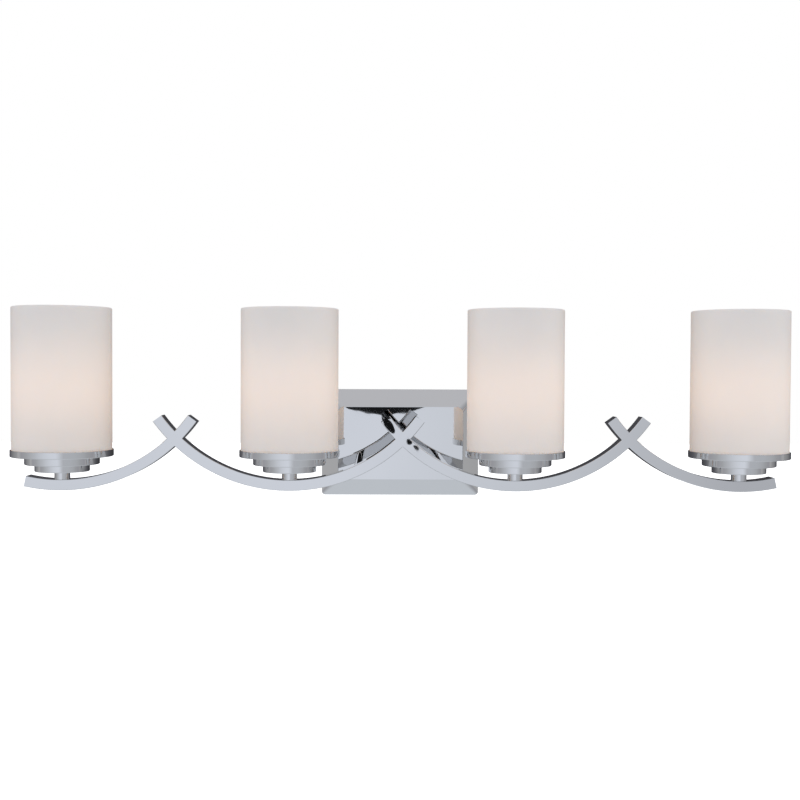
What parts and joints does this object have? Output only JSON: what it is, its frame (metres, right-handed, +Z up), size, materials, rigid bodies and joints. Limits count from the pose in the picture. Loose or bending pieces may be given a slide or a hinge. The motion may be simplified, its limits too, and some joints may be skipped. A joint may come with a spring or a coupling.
{
  "type": "vanity light bar",
  "caption": "Chrome bathroom wall light: crossing arched bars on a bevelled canopy, each carrying a stepped cup, an open opal glass cylinder and a screw-in bulb.",
  "frame": {"origin": "middle of the canopy's back, on the wall plane", "axes": "+Y into the wall, +Z up, +X to the right seen from the room"},
  "size_m": [0.802, 0.1815, 0.2046],
  "materials": {
    "chrome_plate": "polished chrome plating",
    "opal_glass": "opal white glass, satin outside",
    "bulb_glass": "frosted, lit warm white",
    "nickel": "nickel-plated screw cap",
    "brass": "plain brass",
    "porcelain": "glazed porcelain",
    "ring_plastic": "moulded heat-proof plastic",
    "zinc_steel": "zinc-plated steel",
    "green_paint": "green earth screw",
    "copper": "bare copper wire",
    "lead_insulation": "flexible lamp wire insulation",
    "connector_plastic": "moulded twist-on connector"
  },
  "bodies": {
    "fixture": {"canopy": "chrome_plate", "wall_crossbar": "zinc_steel", "canopy_side_screws": "chrome_plate", "ground_screw": "green_paint", "ground_stud": "brass", "ground_lead": "copper", "standoff_post_left": "chrome_plate", "standoff_post_right": "chrome_plate", "post_washers": "zinc_steel", "post_nuts": "zinc_steel", "wire_connectors": "connector_plastic", "threaded_nipples": "zinc_steel", "cup_washers": "zinc_steel", "cup_lock_nuts": "zinc_steel", "lampholder_caps": "porcelain", "screw_shells": "brass", "centre_contacts": "brass", "terminal_plates": "brass", "cross_tip_1": "chrome_plate", "cross_tip_2": "chrome_plate", "cross_tip_3": "chrome_plate", "end_caps": "chrome_plate", "arc_bar_1": "chrome_plate", "neck_1": "chrome_plate", "fitter_cup_1": "chrome_plate", "glass_shade_1": "opal_glass", "lampholder_1": "porcelain", "lamp_leads_1": "lead_insulation", "arc_bar_2": "chrome_plate", "neck_2": "chrome_plate", "fitter_cup_2": "chrome_plate", "glass_shade_2": "opal_glass", "lampholder_2": "porcelain", "lamp_leads_2": "lead_insulation", "arc_bar_3": "chrome_plate", "neck_3": "chrome_plate", "fitter_cup_3": "chrome_plate", "glass_shade_3": "opal_glass", "lampholder_3": "porcelain", "lamp_leads_3": "lead_insulation", "arc_bar_4": "chrome_plate", "neck_4": "chrome_plate", "fitter_cup_4": "chrome_plate", "glass_shade_4": "opal_glass", "lampholder_4": "porcelain", "lamp_leads_4": "lead_insulation"},
    "bulb_1": {"bulb_glass_1": "bulb_glass", "bulb_base_1": "nickel"},
    "retaining_ring_1": {"socket_ring_1": "ring_plastic"},
    "bulb_2": {"bulb_glass_2": "bulb_glass", "bulb_base_2": "nickel"},
    "retaining_ring_2": {"socket_ring_2": "ring_plastic"},
    "bulb_3": {"bulb_glass_3": "bulb_glass", "bulb_base_3": "nickel"},
    "retaining_ring_3": {"socket_ring_3": "ring_plastic"},
    "bulb_4": {"bulb_glass_4": "bulb_glass", "bulb_base_4": "nickel"},
    "retaining_ring_4": {"socket_ring_4": "ring_plastic"}
  },
  "joints": [
    {"name": "bulb_1_lift", "type": "slide", "parent": "fixture", "child": "bulb_1", "axis": [0, 0, 1], "range_m": [0, 0.15]},
    {"name": "ring_1_turn", "type": "hinge", "parent": "fixture", "child": "retaining_ring_1", "pos_m": [-0.3495, -0.13, 0], "axis": [0, 0, 1], "continuous": true},
    {"name": "bulb_2_lift", "type": "slide", "parent": "fixture", "child": "bulb_2", "axis": [0, 0, 1], "range_m": [0, 0.15]},
    {"name": "ring_2_turn", "type": "hinge", "parent": "fixture", "child": "retaining_ring_2", "pos_m": [-0.1165, -0.13, 0], "axis": [0, 0, 1], "continuous": true},
    {"name": "bulb_3_lift", "type": "slide", "parent": "fixture", "child": "bulb_3", "axis": [0, 0, 1], "range_m": [0, 0.15]},
    {"name": "ring_3_turn", "type": "hinge", "parent": "fixture", "child": "retaining_ring_3", "pos_m": [0.1165, -0.13, 0], "axis": [0, 0, 1], "continuous": true},
    {"name": "bulb_4_lift", "type": "slide", "parent": "fixture", "child": "bulb_4", "axis": [0, 0, 1], "range_m": [0, 0.15]},
    {"name": "ring_4_turn", "type": "hinge", "parent": "fixture", "child": "retaining_ring_4", "pos_m": [0.3495, -0.13, 0], "axis": [0, 0, 1], "continuous": true}
  ]
}
